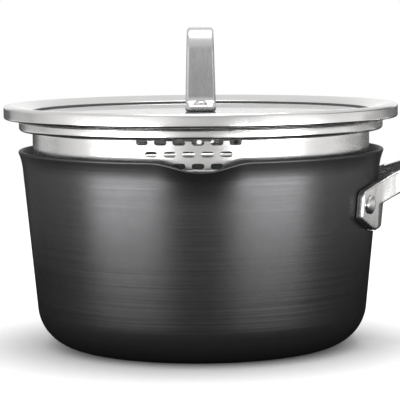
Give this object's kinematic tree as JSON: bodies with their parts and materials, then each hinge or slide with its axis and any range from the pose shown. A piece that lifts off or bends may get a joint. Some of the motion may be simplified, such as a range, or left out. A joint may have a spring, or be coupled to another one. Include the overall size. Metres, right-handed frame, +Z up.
{
  "type": "saucepan with glass lid",
  "caption": "Dark anodised saucepan with pouring spouts and a long steel handle, covered by a steel-rimmed glass lid with a strainer skirt and a strap knob.",
  "frame": {"origin": "on the pan's axis, in the plane of its flat base", "axes": "+Z up along the pan's axis, +X out along the handle, -Y towards the spout beside the oblong strainer holes"},
  "size_m": [0.4138, 0.2316, 0.187],
  "materials": {
    "anodised_aluminium": "hard anodised, satin",
    "brushed_steel": "brushed",
    "polished_steel": "polished",
    "glass": "clear, tempered",
    "silicone": "matte"
  },
  "bodies": {
    "pan": {"pan_body": "anodised_aluminium", "handle": "brushed_steel", "handle_rivet_near": "polished_steel", "handle_rivet_far": "polished_steel"},
    "lid_carrier": {"glass_seal": "silicone"},
    "lid": {"lid_rim": "polished_steel", "strainer_band": "brushed_steel", "glass_panel": "glass", "lid_knob": "brushed_steel", "knob_screw_front": "polished_steel", "knob_screw_back": "polished_steel", "knob_gasket_front": "silicone", "knob_gasket_back": "silicone", "back_washer_front": "silicone", "back_washer_back": "silicone", "cap_nut_front": "polished_steel", "cap_nut_back": "polished_steel"}
  },
  "joints": [
    {"name": "lid_lift", "type": "slide", "parent": "pan", "child": "lid_carrier", "axis": [0, 0, 1], "range_m": [0, 0.08]},
    {"name": "lid_turn", "type": "hinge", "parent": "lid_carrier", "child": "lid", "pos_m": [0, 0, 0.116], "axis": [0, 0, 1], "continuous": true}
  ]
}
